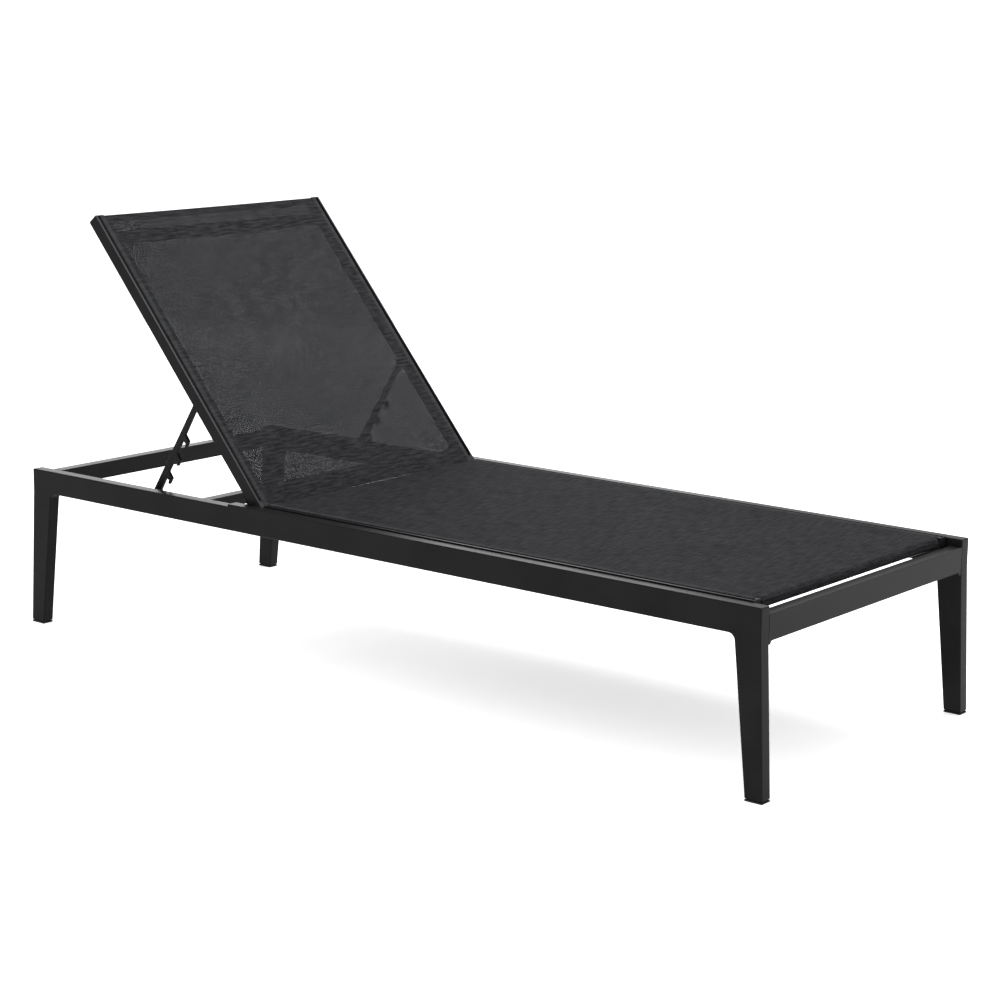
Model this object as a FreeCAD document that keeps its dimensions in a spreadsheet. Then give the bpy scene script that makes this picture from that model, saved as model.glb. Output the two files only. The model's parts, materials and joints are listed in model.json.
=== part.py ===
import FreeCAD, Part
import os
import re
import Sketcher

# Reclining sun lounger: an aluminium base frame, a fixed seat sling and a backrest sling that
# turns on two hinge bolts and is held up by two notched prop arms.
# Millimetres. +X runs from the head end to the foot end, +Y is the left of a person lying on
# it, +Z is up. The origin is on the ground, under the middle of the raised lounger's box.
# Every size below is a cell of the sheet, and every shape is bound to those cells.

SIZES = {
    # base frame
    "rail_length": (1900, "side rail from head end to foot end"),
    "overall_width": (750, "across the outer faces of the side rails"),
    "frame_top": (355, "top of the side rails' foot part above the ground"),
    "rail_width": (27, "side rail and leg thickness across the lounger"),
    "rail_depth": (50, "side rail depth in the head part"),
    "rail_rise": (5, "step up from the head part to the foot part"),
    "rise_start": (600, "step's distance from the head end"),
    "tube_wall": (2, "wall of the base frame's tubes"),
    "leg_splay": (15, "how far a leg's bottom stands out past the rail's end"),
    "leg_foot": (38, "leg width at the bottom"),
    "leg_top": (56, "leg width under the rail"),
    "leg_flare": (15, "radius of the hollow corner between leg and rail"),
    "leg_wall": (3, "wall of the cast legs"),
    "glide_thickness": (5, "plastic glide's plate"),
    "glide_plug": (12, "glide's plug inside the leg"),
    "plug_slack": (1, "glide plug's clearance, and the leg chamber's run past its mouth"),
    "end_rail_width": (25, "head and foot rail width along the lounger"),
    "head_rail_depth": (36, "head rail depth"),
    "foot_rail_depth": (50, "foot rail depth"),
    "foot_rail_drop": (15, "foot rail's top below the side rail's top"),
    "head_rail_inset": (38, "head rail's outer face in from the rail ends"),
    "base_bar_depth": (25, "base crossbar depth"),
    "base_bar_drop": (27, "base crossbar's top below the side rail's top"),
    "base_bar_setback": (220, "base crossbar's middle behind the hinge axis"),
    # sling extrusions, common to seat and back
    "side_gap": (1.5, "gap between side rail and sling rail"),
    "sling_width": (24, "sling rail width"),
    "sling_depth": (25, "sling rail depth"),
    "sling_wall": (2, "sling rail wall, lip and web"),
    "groove_offset": (8, "groove mouth in from the rail's outer face"),
    "groove_mouth": (3.2, "groove mouth width"),
    "channel_width": (8, "keyhole channel width"),
    "channel_depth": (7, "keyhole channel depth"),
    "spline_radius": (2.6, "plastic rod that locks the fabric's hem"),
    "bar_width": (25, "sling crossbar width"),
    "bar_depth": (18, "sling crossbar depth"),
    "bar_wall": (1.5, "sling crossbar wall"),
    "fabric_thickness": (1.2, "sling fabric"),
    "fabric_lift": (0.3, "fabric above the rail's lip"),
    "cap_thickness": (3, "end cap's plate"),
    "cap_plug": (12, "end cap's plug"),
    "fit_gap": (0.2, "clearance round a plug"),
    # seat
    "seat_rear_gap": (16, "hinge axis to the seat rail's rear cap"),
    "seat_front_gap": (10, "seat rail's front cap to the foot rail"),
    "seat_bar_rear": (40, "rear crossbar's middle from the hinge axis"),
    "seat_bar_mid": (610, "middle crossbar's middle from the hinge axis"),
    "seat_bar_front": (1180, "front crossbar's middle from the hinge axis"),
    # hinge
    "hinge_from_head": (660, "hinge axis from the rails' head end"),
    "hinge_height": (345, "hinge axis above the ground"),
    "recline_angle": (49.5, "backrest above level, in its highest notch"),
    "hinge_radius": (4, "hinge bolt"),
    "bush_radius": (5.5, "outside of the hinge bush and of the rail insert"),
    "run_gap": (0.05, "running clearance on a pin"),
    "washer_thickness": (1.4, "nylon washer in the side gap"),
    "washer_radius": (9, "nylon washer"),
    "insert_length": (8, "threaded insert in the side rail"),
    "bolt_head_radius": (7, "hinge and prop bolt heads"),
    "bolt_head": (3.5, "hinge and prop bolt head thickness"),
    "head_gap": (0.3, "bolt head's clearance from what turns under it"),
    # back
    "back_length": (742, "hinge axis to the top of the backrest"),
    "knuckle_start": (14, "hinge axis to the back rail's lower end"),
    "knuckle_tongue": (30, "knuckle's tongue inside the back rail"),
    "fabric_over": (2, "hinge axis to the back fabric's lower edge"),
    "back_bar_low": (30, "lower crossbar's middle from the hinge axis"),
    "back_bar_top": (690, "upper crossbar's middle from the hinge axis"),
    # prop arms and the pins they hook on
    "prop_pivot": (287, "prop pivot from the hinge axis, along the back"),
    "prop_offset": (4.5, "prop pivot behind the back rail's middle"),
    "prop_angle": (58.8, "prop arm below level at rest"),
    "prop_length": (283, "pivot to the arm's end"),
    "prop_thickness": (7.5, "arm thickness"),
    "prop_gap": (1, "arm's clearance from the back rail"),
    "prop_root": (5.5, "arm's half width at the pivot"),
    "prop_tip": (8.5, "arm's half width at the end"),
    "prop_eye": (9, "arm's round end"),
    "notch_last": (266.5, "pivot to the last notch's roof"),
    "notch_pitch": (50, "from notch to notch"),
    "notch_count": (4, "notches in an arm"),
    "hook_reach": (23, "hook's outer edge from the arm's middle"),
    "hook_lip": (7, "length of the lip that keeps the pin in"),
    "hook_lip_width": (4, "thickness of that lip at its end"),
    "hook_lip_taper": (1.5, "how much thicker the lip is at the roof"),
    "hook_slope": (8, "slant of the hook's back"),
    "hook_root": (9, "thickness of the hook above its roof"),
    "pin_radius": (4, "catch pin"),
    "pin_collar": (8, "catch pin's collar radius"),
    "pin_collar_thickness": (3, "catch pin's collar"),
    "pin_setback": (330, "catch pin behind the hinge axis"),
    "pin_drop": (16, "catch pin below the hinge axis"),
    "pin_gap": (1, "catch pin's end to the arm's outer face"),
    "pin_grip": (4, "how far a pin or bolt goes past the wall it is fixed in"),
    # seat bolts
    "seat_bolt_radius": (3, "seat frame bolt"),
    "seat_bolt_head": (5.5, "seat frame bolt head radius"),
    "seat_bolt_dome": (3, "seat frame bolt head thickness"),
    "seat_bolt_rear": (90, "rear seat bolts from the hinge axis"),
    "seat_bolt_mid": (560, "middle seat bolts from the hinge axis"),
    "seat_bolt_front": (1120, "front seat bolts from the hinge axis"),
    "spacer_radius": (6, "spacer between seat rail and side rail"),
}

SIDES = {"left": 1, "right": -1}
ENDS = {"head": -1, "foot": 1}
STATIONS = ("rear", "mid", "front")      # along the seat

# Positions that many sub-parts share, written in the sheet's aliases.
HALF_LENGTH = "(rail_length / 2)"
RAIL_BOTTOM = "(frame_top - rail_rise - rail_depth)"
SIDE_INNER = "(overall_width / 2 - rail_width)"
SLING_OUTER = "(overall_width / 2 - rail_width - side_gap)"
SLING_INNER = "(overall_width / 2 - rail_width - side_gap - sling_width)"
HINGE_X = "(hinge_from_head - rail_length / 2)"
HALF_DEPTH = "(sling_depth / 2)"
SEAT_START = f"({HINGE_X} + seat_rear_gap)"
SEAT_END = f"({HALF_LENGTH} - end_rail_width - seat_front_gap)"
GROOVE_MIDDLE = "(groove_offset + groove_mouth / 2)"
CHANNEL_BOTTOM = "(sling_wall + channel_depth)"
CHAMBER_TOP = "(2 * sling_wall + channel_depth)"
CHAMBER_MIDDLE = "(sling_wall + channel_depth / 2 + sling_depth / 2)"
PROP_OUTER = f"({SLING_INNER} - prop_gap)"
PROP_INNER = f"({SLING_INNER} - prop_gap - prop_thickness)"

doc = FreeCAD.newDocument("SunLounger")
nodes = []


def write_sheet():
    """Write the driving sizes, one row each: name, value with its alias, meaning."""
    sheet = doc.addObject("Spreadsheet::Sheet", "Sizes")
    for row, (alias, (value, meaning)) in enumerate(SIZES.items(), start=1):
        sheet.set(f"A{row}", alias)
        sheet.set(f"B{row}", str(value))
        sheet.set(f"C{row}", meaning)
        sheet.setAlias(f"B{row}", alias)
    doc.recompute()


def formula(text):
    """Return an expression in which each alias is read from the sheet."""
    return re.sub(r"[a-z]\w*", lambda word: ("Sizes." if word[0] in SIZES else "") + word[0], str(text))


def bind(item, formulas):
    """Bind properties of a document object to expressions."""
    for path, text in formulas.items():
        item.setExpression(path, formula(text))
    return item


def base(x="0", y="0", z="0"):
    """Return the formulas of a placement's position."""
    return {"Placement.Base.x": x, "Placement.Base.y": y, "Placement.Base.z": z}


def keep(item, node):
    """Make an object a node of the lounger under the name of its file."""
    item.Label = node
    nodes.append(item)
    return item


def on_back(item):
    """Place a piece drawn about the hinge axis, front face up, on the raised backrest."""
    item.Placement = FreeCAD.Placement(FreeCAD.Vector(), FreeCAD.Rotation(FreeCAD.Vector(0, 1, 0), 1))
    return bind(item, {**base(HINGE_X, "0", "hinge_height"), "Placement.Rotation.Angle": "recline_angle"})


# ---------------------------------------------------------------- plain solids

def box(name, low, size):
    """Return a block from its low corner and its size."""
    block = doc.addObject("Part::Box", name)
    bind(block, base(*low))
    return bind(block, dict(zip(("Length", "Width", "Height"), size)))


def rod(name, side, radius, start, end, x, z):
    """Return a round bar across the lounger, from start to end out from the middle."""
    bar = doc.addObject("Part::Cylinder", name)
    bar.Placement = FreeCAD.Placement(FreeCAD.Vector(), FreeCAD.Rotation(FreeCAD.Vector(1, 0, 0), -90 * side))
    bind(bar, base(x, f"{side} * {start}", z))
    return bind(bar, {"Radius": radius, "Height": f"{end} - {start}"})


def joined(name, kind, pieces):
    """Return the union or the group of several solids."""
    whole = doc.addObject(kind, name)
    if kind == "Part::Compound":
        whole.Links = pieces
    else:
        whole.Shapes = pieces
    return whole


def cut(name, stock, tools):
    """Return a solid with one or several others taken out of it."""
    result = doc.addObject("Part::Cut", name)
    result.Base = stock
    result.Tool = tools[0] if len(tools) == 1 else joined(f"{name}_tools", "Part::Compound", tools)
    return result


def sleeve(name, side, outer, inner, start, end, x, z):
    """Return a round tube across the lounger."""
    return cut(name, rod(f"{name}_body", side, outer, start, end, x, z),
               [rod(f"{name}_bore", side, inner, start, end, x, z)])


def crossbar(name, half, low_x, low_z, width, depth, wall):
    """Return a rectangular tube that spans the lounger between two rails."""
    outer = box(f"{name}_outer", (low_x, f"-{half}", low_z), (width, f"2 * {half}", depth))
    inner = box(f"{name}_inner", (f"{low_x} + {wall}", f"-{half}", f"{low_z} + {wall}"),
                (f"{width} - 2 * {wall}", f"2 * {half}", f"{depth} - 2 * {wall}"))
    return cut(name, outer, [inner])


# ---------------------------------------------------------------- sketched bodies

def body_plane(body, role):
    """Return one of a body's own origin planes or axes."""
    return next(feature for feature in body.Origin.OriginFeatures if feature.Role == role)


def outline(body, plane, name, loops=(), circles=(), offset="0"):
    """Return a sketch of closed straight-sided loops and of circles, bound to the sheet."""
    sketch = body.newObject("Sketcher::SketchObject", name)
    sketch.AttachmentSupport = [(body_plane(body, plane), "")]
    sketch.MapMode = "FlatFace"
    sketch.setExpression("AttachmentOffset.Base.z", formula(offset))
    for corners in loops:
        first = sketch.GeometryCount
        count = len(corners)
        start = [FreeCAD.Vector(step, step * step, 0) for step in range(count)]
        for step in range(count):
            sketch.addGeometry(Part.LineSegment(start[step], start[(step + 1) % count]))
        for step in range(count):
            follower = first + (step + 1) % count
            sketch.addConstraint(Sketcher.Constraint("Coincident", first + step, 2, follower, 1))
        for step, corner in enumerate(corners):
            pin_point(sketch, first + step, 1, corner)
    for x, y, radius in circles:
        index = sketch.addGeometry(Part.Circle(FreeCAD.Vector(1, 1, 0), FreeCAD.Vector(0, 0, 1), 1))
        pin_point(sketch, index, 3, (x, y))
        drive(sketch, Sketcher.Constraint("Radius", index, 1), radius)
    return sketch


def pin_point(sketch, element, point, place):
    """Hold a point of a sketch at a place given by two expressions."""
    for direction, text in zip(("DistanceX", "DistanceY"), place):
        drive(sketch, Sketcher.Constraint(direction, -1, 1, element, point, 1), text)


def drive(sketch, constraint, text):
    """Add a constraint whose value is an expression."""
    index = sketch.addConstraint(constraint)
    sketch.setExpression(f"Constraints[{index}]", formula(text))


def shaped(body, kind, name, sketch, length, symmetric=False, backwards=False):
    """Add a pad or pocket of a sketch to a body."""
    feature = body.newObject(f"PartDesign::{kind}", name)
    feature.Profile = sketch
    feature.Reversed = backwards
    if symmetric:
        feature.SideType = "Symmetric"
    return bind(feature, {"Length": length})


def side_plate(name, loops, circles, thickness, holes=()):
    """Return a body whose outline in side view is given a thickness about its middle plane."""
    body = doc.addObject("PartDesign::Body", name)
    for number, loop in enumerate(loops):
        shaped(body, "Pad", f"{name}_pad{number}",
               outline(body, "XZ_Plane", f"{name}_side{number}", [loop]), thickness, symmetric=True)
    for number, circle in enumerate(circles):
        shaped(body, "Pad", f"{name}_round{number}",
               outline(body, "XZ_Plane", f"{name}_eye{number}", circles=[circle]), thickness, symmetric=True)
    for number, hole in enumerate(holes):
        shaped(body, "Pocket", f"{name}_hole{number}",
               outline(body, "XZ_Plane", f"{name}_bore{number}", circles=[hole]),
               f"2 * {thickness}", symmetric=True)
    return body


def hollow(body, name, loop, thickness):
    """Take a closed chamber out of the middle of a side plate."""
    shaped(body, "Pocket", f"{name}_chamber",
           outline(body, "XZ_Plane", f"{name}_inside", [loop]), thickness, symmetric=True)
    return body


def sling_rail(name, side, start, end, middle):
    """Return a sling extrusion with its keyhole groove and its lower chamber."""
    def corner(inward, down):
        return f"{side} * ({SLING_OUTER} - {inward})", f"{middle} + {HALF_DEPTH} - {down}"

    channel_start = "(groove_offset + groove_mouth / 2 - channel_width / 2)"
    channel_end = "(groove_offset + groove_mouth / 2 + channel_width / 2)"
    groove_end = "(groove_offset + groove_mouth)"
    profile = [corner("0", "0"), corner("groove_offset", "0"), corner("groove_offset", "sling_wall"),
               corner(channel_start, "sling_wall"), corner(channel_start, CHANNEL_BOTTOM),
               corner(channel_end, CHANNEL_BOTTOM), corner(channel_end, "sling_wall"),
               corner(groove_end, "sling_wall"), corner(groove_end, "0"), corner("sling_width", "0"),
               corner("sling_width", "sling_depth"), corner("0", "sling_depth")]
    near = ("sling_wall", "(sling_width - sling_wall)")
    deep = (CHAMBER_TOP, "(sling_depth - sling_wall)")
    chamber = [corner(near[0], deep[0]), corner(near[1], deep[0]),
               corner(near[1], deep[1]), corner(near[0], deep[1])]
    body = doc.addObject("PartDesign::Body", name)
    shaped(body, "Pad", f"{name}_extrusion",
           outline(body, "YZ_Plane", f"{name}_section", [profile, chamber], offset=start),
           f"{end} - {start}")
    return body


def sling_plug(name, side, plate_low, plate_length, plug_low, plug_length, middle):
    """Return a fitting for a sling rail's end: a plate of its section and a plug in its chamber."""
    outer = f"min({side} * {SLING_OUTER}; {side} * {SLING_INNER})"
    plate = box(f"{name}_plate", (plate_low, outer, f"{middle} - {HALF_DEPTH}"),
                (plate_length, "sling_width", "sling_depth"))
    inset = "(sling_wall + fit_gap)"
    plug = box(f"{name}_plug", (plug_low, f"{outer} + {inset}", f"{middle} - {HALF_DEPTH} + {inset}"),
               (plug_length, f"sling_width - 2 * {inset}",
                f"sling_depth - {CHAMBER_TOP} - {inset} - fit_gap"))
    return joined(name, "Part::MultiFuse", [plate, plug])


# ---------------------------------------------------------------- base frame

def side_rail(word, side):
    """The stepped side rail, hollow, with its holes in the inner wall."""
    step_x = f"(rise_start - {HALF_LENGTH})"
    step_z = "(frame_top - rail_rise)"
    wall = "tube_wall"
    rim = [(f"-{HALF_LENGTH}", RAIL_BOTTOM), (HALF_LENGTH, RAIL_BOTTOM), (HALF_LENGTH, "frame_top"),
           (step_x, "frame_top"), (step_x, step_z), (f"-{HALF_LENGTH}", step_z)]
    inside = [(f"{wall} - {HALF_LENGTH}", f"{RAIL_BOTTOM} + {wall}"),
              (f"{HALF_LENGTH} - {wall}", f"{RAIL_BOTTOM} + {wall}"),
              (f"{HALF_LENGTH} - {wall}", f"frame_top - {wall}"),
              (f"{step_x} + {wall}", f"frame_top - {wall}"),
              (f"{step_x} + {wall}", f"{step_z} - {wall}"),
              (f"{wall} - {HALF_LENGTH}", f"{step_z} - {wall}")]
    name = f"side_rail_{word}"
    body = side_plate(f"{name}_tube", [rim], [], "rail_width")
    hollow(body, name, inside, "rail_width - 2 * tube_wall")
    bind(body, base(y=f"{side} * (overall_width / 2 - rail_width / 2)"))
    end = f"({SIDE_INNER} + tube_wall)"
    tools = [rod(f"{name}_hinge_hole", side, "bush_radius", SIDE_INNER, end, HINGE_X, "hinge_height"),
             rod(f"{name}_pin_hole", side, "pin_radius", SIDE_INNER, end,
                 f"{HINGE_X} - pin_setback", "hinge_height - pin_drop")]
    for station in STATIONS:
        tools.append(rod(f"{name}_bolt_hole_{station}", side, "seat_bolt_radius", SIDE_INNER, end,
                         f"{HINGE_X} + seat_bolt_{station}",
                         f"hinge_height + {HALF_DEPTH} - {CHAMBER_MIDDLE}"))
    keep(cut(name, body, tools), name)


def leg(place, end, word, side):
    """A tapered cast leg, flared into the rail at its inner corner, open at the bottom."""
    foot_in = "(leg_splay - leg_foot)"
    rim = [("0", RAIL_BOTTOM), ("leg_splay", "glide_thickness"), (foot_in, "glide_thickness"),
           ("-leg_top", f"{RAIL_BOTTOM} - leg_flare"),
           ("-leg_top - leg_flare", f"{RAIL_BOTTOM} - leg_flare"), ("-leg_top - leg_flare", RAIL_BOTTOM)]
    inside = [("-leg_wall", f"{RAIL_BOTTOM} - leg_wall"),
              ("leg_splay - leg_wall", "glide_thickness - plug_slack"),
              (f"{foot_in} + leg_wall", "glide_thickness - plug_slack"),
              ("-leg_top + leg_wall", f"{RAIL_BOTTOM} - leg_flare"),
              ("-leg_top + leg_wall", f"{RAIL_BOTTOM} - leg_wall")]

    def from_end(loop):
        return [(f"{end} * ({HALF_LENGTH} + ({x}))", z) for x, z in loop]

    name = f"leg_{place}_{word}"
    flare = (f"{end} * ({HALF_LENGTH} - leg_top - leg_flare)", f"{RAIL_BOTTOM} - leg_flare", "leg_flare")
    body = side_plate(name, [from_end(rim)], [], "rail_width", [flare])
    hollow(body, name, from_end(inside), "rail_width - 2 * leg_wall")
    keep(bind(body, base(y=f"{side} * (overall_width / 2 - rail_width / 2)")), name)


def glide(place, end, word, side):
    """The plastic glide under a leg, with its plug."""
    name = f"glide_{place}_{word}"
    foot_low = f"({end} * ({HALF_LENGTH} + leg_splay - leg_foot / 2) - leg_foot / 2)"
    near = f"({side} * (overall_width / 2 - rail_width / 2) - rail_width / 2)"
    inset = "(leg_wall + plug_slack)"
    plate = box(f"{name}_plate", (foot_low, near, "0"), ("leg_foot", "rail_width", "glide_thickness"))
    plug = box(f"{name}_plug", (f"{foot_low} + {inset}", f"{near} + {inset}", "glide_thickness"),
               (f"leg_foot - 2 * {inset}", f"rail_width - 2 * {inset}", "glide_plug"))
    keep(joined(name, "Part::MultiFuse", [plate, plug]), name)


def base_frame():
    """Rails, legs, glides and the three cross tubes of the base."""
    for word, side in SIDES.items():
        side_rail(word, side)
        for place, end in ENDS.items():
            leg(place, end, word, side)
            glide(place, end, word, side)
    keep(crossbar("head_rail", SIDE_INNER, f"(head_rail_inset - {HALF_LENGTH})",
                  "(frame_top - rail_rise - head_rail_depth)",
                  "end_rail_width", "head_rail_depth", "tube_wall"), "head_rail")
    keep(crossbar("foot_rail", SIDE_INNER, f"({HALF_LENGTH} - end_rail_width)",
                  "(frame_top - foot_rail_drop - foot_rail_depth)",
                  "end_rail_width", "foot_rail_depth", "tube_wall"), "foot_rail")
    keep(crossbar("base_crossbar", SIDE_INNER, f"({HINGE_X} - base_bar_setback - bar_width / 2)",
                  "(frame_top - base_bar_drop - base_bar_depth)",
                  "bar_width", "base_bar_depth", "tube_wall"), "base_crossbar")


# ---------------------------------------------------------------- slings

def sling_fabric(name, start, end, middle):
    """The fabric of a sling, flat, from groove to groove."""
    half = f"({SLING_OUTER} - {GROOVE_MIDDLE})"
    return box(name, (start, f"-{half}", f"{middle} + {HALF_DEPTH} + fabric_lift"),
               (f"{end} - {start}", f"2 * {half}", "fabric_thickness"))


def sling_spline(name, side, start, end, middle):
    """The plastic rod that holds a hem in its channel."""
    bar = doc.addObject("Part::Cylinder", name)
    bar.Placement = FreeCAD.Placement(FreeCAD.Vector(), FreeCAD.Rotation(FreeCAD.Vector(0, 1, 0), 90))
    bind(bar, base(start, f"{side} * ({SLING_OUTER} - {GROOVE_MIDDLE})",
                   f"{middle} + {HALF_DEPTH} - sling_wall - channel_depth / 2"))
    return bind(bar, {"Radius": "spline_radius", "Height": f"{end} - {start}"})


def sling_bar(name, station, middle):
    """A crossbar between two sling rails, clear of the fabric."""
    return crossbar(name, SLING_INNER, f"({station} - bar_width / 2)", f"({middle} - {HALF_DEPTH})",
                    "bar_width", "bar_depth", "bar_wall")


def seat():
    """The fixed seat sling between the side rails."""
    level = "hinge_height"
    start = f"({SEAT_START} + cap_thickness)"
    end = f"({SEAT_END} - cap_thickness)"
    for word, side in SIDES.items():
        name = f"seat_rail_{word}"
        rail = sling_rail(f"{name}_stock", side, start, end, level)
        holes = [rod(f"{name}_hole_{station}", side, "seat_bolt_radius", SLING_INNER, SLING_OUTER,
                     f"{HINGE_X} + seat_bolt_{station}", f"{level} + {HALF_DEPTH} - {CHAMBER_MIDDLE}")
                 for station in STATIONS]
        keep(cut(name, rail, holes), name)
        spline = f"seat_spline_{word}"
        keep(sling_spline(spline, side, start, end, level), spline)
        rear = f"seat_cap_rear_{word}"
        keep(sling_plug(rear, side, SEAT_START, "cap_thickness", start, "cap_plug", level), rear)
        front = f"seat_cap_front_{word}"
        keep(sling_plug(front, side, end, "cap_thickness", f"({end} - cap_plug)", "cap_plug", level), front)
    for name in STATIONS:
        node = f"seat_crossbar_{name}"
        keep(sling_bar(node, f"({HINGE_X} + seat_bar_{name})", level), node)
    keep(sling_fabric("seat_fabric", start, SEAT_END, level), "seat_fabric")
    seat_bolts(level)


def seat_bolts(level):
    """The bolts and spacers that hang the seat sling in the base frame."""
    bolts = []
    spacers = []
    z = f"{level} + {HALF_DEPTH} - {CHAMBER_MIDDLE}"
    for word, side in SIDES.items():
        for station in STATIONS:
            x = f"{HINGE_X} + seat_bolt_{station}"
            name = f"seat_bolt_{word}_{station}"
            shank = rod(f"{name}_shank", side, "seat_bolt_radius", SLING_INNER,
                        f"({SIDE_INNER} + tube_wall + pin_grip)", x, z)
            head = rod(f"{name}_head", side, "seat_bolt_head", f"({SLING_INNER} - seat_bolt_dome)",
                       SLING_INNER, x, z)
            bolts.append(joined(name, "Part::MultiFuse", [shank, head]))
            spacers.append(sleeve(f"seat_spacer_{word}_{station}", side, "spacer_radius",
                                  "seat_bolt_radius", SLING_OUTER, SIDE_INNER, x, z))
    keep(joined("seat_bolt_group", "Part::Compound", bolts), "seat_bolts")
    keep(joined("seat_spacer_group", "Part::Compound", spacers), "seat_spacers")


def back():
    """The backrest sling, drawn level about the hinge axis and then raised."""
    low = "(-back_length + cap_thickness)"
    high = "(-knuckle_start)"
    for word, side in SIDES.items():
        name = f"back_rail_{word}"
        rail = sling_rail(f"{name}_stock", side, low, high, "0")
        hole = rod(f"{name}_hole", side, "hinge_radius", SLING_INNER, f"({SLING_INNER} + sling_wall)",
                   "-prop_pivot", "-prop_offset")
        keep(on_back(cut(name, rail, [hole])), name)
        spline = f"back_spline_{word}"
        keep(on_back(group_one(sling_spline(f"{spline}_rod", side, low, high, "0"), spline)), spline)
        cap = f"back_cap_{word}"
        keep(on_back(sling_plug(cap, side, "-back_length", "cap_thickness", low, "cap_plug", "0")), cap)
        keep(on_back(knuckle(f"back_knuckle_{word}", side)), f"back_knuckle_{word}")
        bush = f"back_bush_{word}"
        keep(on_back(sleeve(bush, side, "bush_radius", "(hinge_radius + run_gap)",
                            SLING_INNER, SLING_OUTER, "0", "0")), bush)
        prop_fixing(word, side)
    for name in ("low", "top"):
        node = f"back_crossbar_{name}"
        keep(on_back(sling_bar(node, f"(-back_bar_{name})", "0")), node)
    sheet = sling_fabric("back_fabric_sheet", low, "(-fabric_over)", "0")
    keep(on_back(group_one(sheet, "back_fabric")), "back_fabric")


def group_one(item, name):
    """Wrap a primitive that has a place of its own, so that the back can carry it."""
    return joined(f"{name}_carried", "Part::Compound", [item])


def knuckle(name, side):
    """The hinge fitting in a back rail's lower end: a tongue, a block and a bushed eye."""
    inset = "(sling_wall + fit_gap)"
    low_y = f"min({side} * {SLING_OUTER}; {side} * {SLING_INNER})"
    eye = rod(f"{name}_eye", side, HALF_DEPTH, SLING_INNER, SLING_OUTER, "0", "0")
    block = box(f"{name}_block", ("-knuckle_start", low_y, f"-{HALF_DEPTH}"),
                ("knuckle_start", "sling_width", "sling_depth"))
    tongue = box(f"{name}_tongue", ("-knuckle_start - knuckle_tongue", f"{low_y} + {inset}",
                                    f"{inset} - {HALF_DEPTH}"),
                 ("knuckle_tongue", f"sling_width - 2 * {inset}",
                  f"sling_depth - {CHAMBER_TOP} - {inset} - fit_gap"))
    bore = rod(f"{name}_bore", side, "bush_radius", SLING_INNER, SLING_OUTER, "0", "0")
    return cut(name, joined(f"{name}_blank", "Part::MultiFuse", [eye, block, tongue]), [bore])


# ---------------------------------------------------------------- hinge and props

def hinge(word, side):
    """A hinge bolt, its washer and the threaded insert in the side rail."""
    end = f"({SIDE_INNER} + insert_length)"
    head_end = f"({SLING_INNER} - head_gap)"
    bolt = f"hinge_bolt_{word}"
    shank = rod(f"{bolt}_shank", side, "hinge_radius", head_end, end, HINGE_X, "hinge_height")
    head = rod(f"{bolt}_head", side, "bolt_head_radius", f"({head_end} - bolt_head)", head_end,
               HINGE_X, "hinge_height")
    keep(joined(bolt, "Part::MultiFuse", [shank, head]), bolt)
    washer = f"hinge_washer_{word}"
    slack = "((side_gap - washer_thickness) / 2)"
    keep(sleeve(washer, side, "washer_radius", "(hinge_radius + run_gap)", f"({SLING_OUTER} + {slack})",
                f"({SIDE_INNER} - {slack})", HINGE_X, "hinge_height"), washer)
    insert = f"hinge_insert_{word}"
    keep(sleeve(insert, side, "bush_radius", "hinge_radius", SIDE_INNER, end,
                HINGE_X, "hinge_height"), insert)


def catch_pin(word, side):
    """The pin on the side rail that a prop arm hooks on, with its collar."""
    name = f"catch_pin_{word}"
    place = (f"{HINGE_X} - pin_setback", "hinge_height - pin_drop")
    shank = rod(f"{name}_shank", side, "pin_radius", f"({PROP_OUTER} + pin_gap)",
                f"({SIDE_INNER} + tube_wall + pin_grip)", *place)
    collar = rod(f"{name}_collar", side, "pin_collar", f"({SIDE_INNER} - pin_collar_thickness)",
                 SIDE_INNER, *place)
    keep(joined(name, "Part::MultiFuse", [shank, collar]), name)


def prop_fixing(word, side):
    """The bolt and washer on a back rail that a prop arm turns on."""
    bolt = f"prop_bolt_{word}"
    place = ("-prop_pivot", "-prop_offset")
    head_end = f"({PROP_INNER} - head_gap)"
    shank = rod(f"{bolt}_shank", side, "hinge_radius", head_end,
                f"({SLING_INNER} + sling_wall + pin_grip)", *place)
    head = rod(f"{bolt}_head", side, "bolt_head_radius", f"({head_end} - bolt_head)", head_end, *place)
    keep(on_back(joined(bolt, "Part::MultiFuse", [shank, head])), bolt)
    washer = f"prop_washer_{word}"
    keep(on_back(sleeve(washer, side, "pin_collar", "hinge_radius", f"({PROP_OUTER} + run_gap)",
                        SLING_INNER, *place)), washer)


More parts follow.
